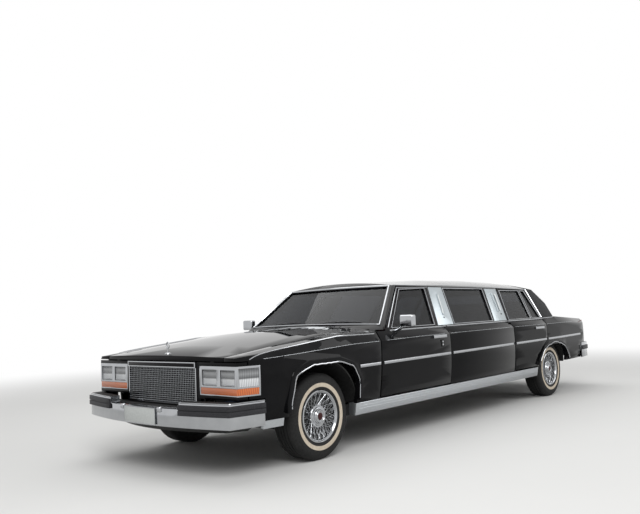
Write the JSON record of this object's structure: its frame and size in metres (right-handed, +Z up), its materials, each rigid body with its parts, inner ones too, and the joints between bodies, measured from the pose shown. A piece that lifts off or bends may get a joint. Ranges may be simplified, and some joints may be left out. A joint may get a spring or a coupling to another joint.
{
  "type": "stretched luxury sedan",
  "caption": "Long formal sedan with hinged doors, hood and boot lid, steered front wheels, an extended fixed centre section and rolling wheels.",
  "frame": {"origin": "middle of the car's footprint on the ground", "axes": "+X forward, +Y to the car's left, +Z up"},
  "size_m": [6.6896, 2.21, 1.4698],
  "materials": {
    "black_paint": "gloss black enamel",
    "tinted_glass": "dark tinted glass",
    "bright_chrome": "polished chrome",
    "brushed_trim": "brushed bright trim",
    "lamp_lens": "clear moulded lens",
    "amber_lens": "amber moulded lens",
    "bumper_rubber": "ribbed black rubber",
    "red_lens": "red moulded lens",
    "chassis_black": "satin black underbody paint",
    "cast_iron": "rough cast iron",
    "exhaust_steel": "dull steel",
    "seat_cloth": "plush cloth",
    "dash_plastic": "grained soft plastic",
    "tyre_rubber": "black rubber with a white band"
  },
  "bodies": {
    "root": {"cowl": "black_paint", "front_fenders": "black_paint", "centre_panels": "black_paint", "rear_quarters": "black_paint", "sills": "brushed_trim", "rear_shelf": "black_paint", "roof": "black_paint", "windshield": "tinted_glass", "rear_glass": "tinted_glass", "centre_glass": "tinted_glass", "header_panel": "black_paint", "grille": "bright_chrome", "headlamps": "lamp_lens", "front_bumper": "bright_chrome", "rear_bumper": "bright_chrome", "rear_axle": "chassis_black", "front_suspension": "chassis_black", "frame": "chassis_black", "floor": "chassis_black", "wheel_housings": "chassis_black", "engine": "cast_iron", "front_seat": "seat_cloth", "rear_seat": "seat_cloth", "dashboard": "dash_plastic", "steering_wheel": "dash_plastic", "tail_lamps": "red_lens", "tail_panel": "black_paint", "hinge_posts": "chassis_black", "fuel_tank": "chassis_black", "exhaust": "exhaust_steel", "turn_lamps": "amber_lens", "lamp_bezels": "bright_chrome", "bumper_strips": "bumper_rubber", "front_valance": "chassis_black", "pillar_covers": "brushed_trim"},
    "hood": {"hood": "black_paint"},
    "boot_lid": {"boot_lid": "black_paint"},
    "front_door_left": {"front_door_left": "black_paint", "front_door_glass_left": "tinted_glass", "front_door_trim_left": "bright_chrome"},
    "rear_door_left": {"rear_door_left": "black_paint", "rear_door_glass_left": "tinted_glass", "rear_door_handle_left": "bright_chrome"},
    "knuckle_left": {"knuckle_left": "chassis_black"},
    "wheel_front_left": {"tyre_front_left": "tyre_rubber", "wheel_front_left": "bright_chrome"},
    "wheel_rear_left": {"tyre_rear_left": "tyre_rubber", "wheel_rear_left": "bright_chrome"},
    "front_door_right": {"front_door_right": "black_paint", "front_door_glass_right": "tinted_glass", "front_door_trim_right": "bright_chrome"},
    "rear_door_right": {"rear_door_right": "black_paint", "rear_door_glass_right": "tinted_glass", "rear_door_handle_right": "bright_chrome"},
    "knuckle_right": {"knuckle_right": "chassis_black"},
    "wheel_front_right": {"tyre_front_right": "tyre_rubber", "wheel_front_right": "bright_chrome"},
    "wheel_rear_right": {"tyre_rear_right": "tyre_rubber", "wheel_rear_right": "bright_chrome"}
  },
  "joints": [
    {"name": "front_door_left_swing", "type": "hinge", "parent": "root", "child": "front_door_left", "pos_m": [1.51, 0.941, 0.66], "axis": [0, 0, -1], "range_deg": [0, 65]},
    {"name": "rear_door_left_swing", "type": "hinge", "parent": "root", "child": "rear_door_left", "pos_m": [-0.985, 0.941, 0.66], "axis": [0, 0, -1], "range_deg": [0, 65]},
    {"name": "steer_left", "type": "hinge", "parent": "root", "child": "knuckle_left", "pos_m": [2.29, 0.7135, 0.336], "axis": [0, 0, 1], "range_deg": [-33, 33]},
    {"name": "wheel_front_left_spin", "type": "hinge", "parent": "knuckle_left", "child": "wheel_front_left", "pos_m": [2.29, 0.7835, 0.336], "axis": [0, 1, 0], "continuous": true},
    {"name": "wheel_rear_left_spin", "type": "hinge", "parent": "root", "child": "wheel_rear_left", "pos_m": [-2.01, 0.771, 0.336], "axis": [0, 1, 0], "continuous": true},
    {"name": "front_door_right_swing", "type": "hinge", "parent": "root", "child": "front_door_right", "pos_m": [1.51, -0.941, 0.66], "axis": [0, 0, 1], "range_deg": [0, 65]},
    {"name": "rear_door_right_swing", "type": "hinge", "parent": "root", "child": "rear_door_right", "pos_m": [-0.985, -0.941, 0.66], "axis": [0, 0, 1], "range_deg": [0, 65]},
    {"name": "steer_right", "type": "hinge", "parent": "root", "child": "knuckle_right", "pos_m": [2.29, -0.7135, 0.336], "axis": [0, 0, 1], "range_deg": [-33, 33]},
    {"name": "wheel_front_right_spin", "type": "hinge", "parent": "knuckle_right", "child": "wheel_front_right", "pos_m": [2.29, -0.7835, 0.336], "axis": [0, 1, 0], "continuous": true},
    {"name": "wheel_rear_right_spin", "type": "hinge", "parent": "root", "child": "wheel_rear_right", "pos_m": [-2.01, -0.771, 0.336], "axis": [0, 1, 0], "continuous": true},
    {"name": "hood_lift", "type": "hinge", "parent": "root", "child": "hood", "pos_m": [1.62, 0, 1.012], "axis": [0, -1, 0], "range_deg": [0, 55]},
    {"name": "boot_lid_lift", "type": "hinge", "parent": "root", "child": "boot_lid", "pos_m": [-2.292, 0, 0.992], "axis": [0, 1, 0], "range_deg": [0, 65]}
  ],
  "couplings": [
    {"joint": "steer_right", "follows": "steer_left", "ratio": 1}
  ]
}
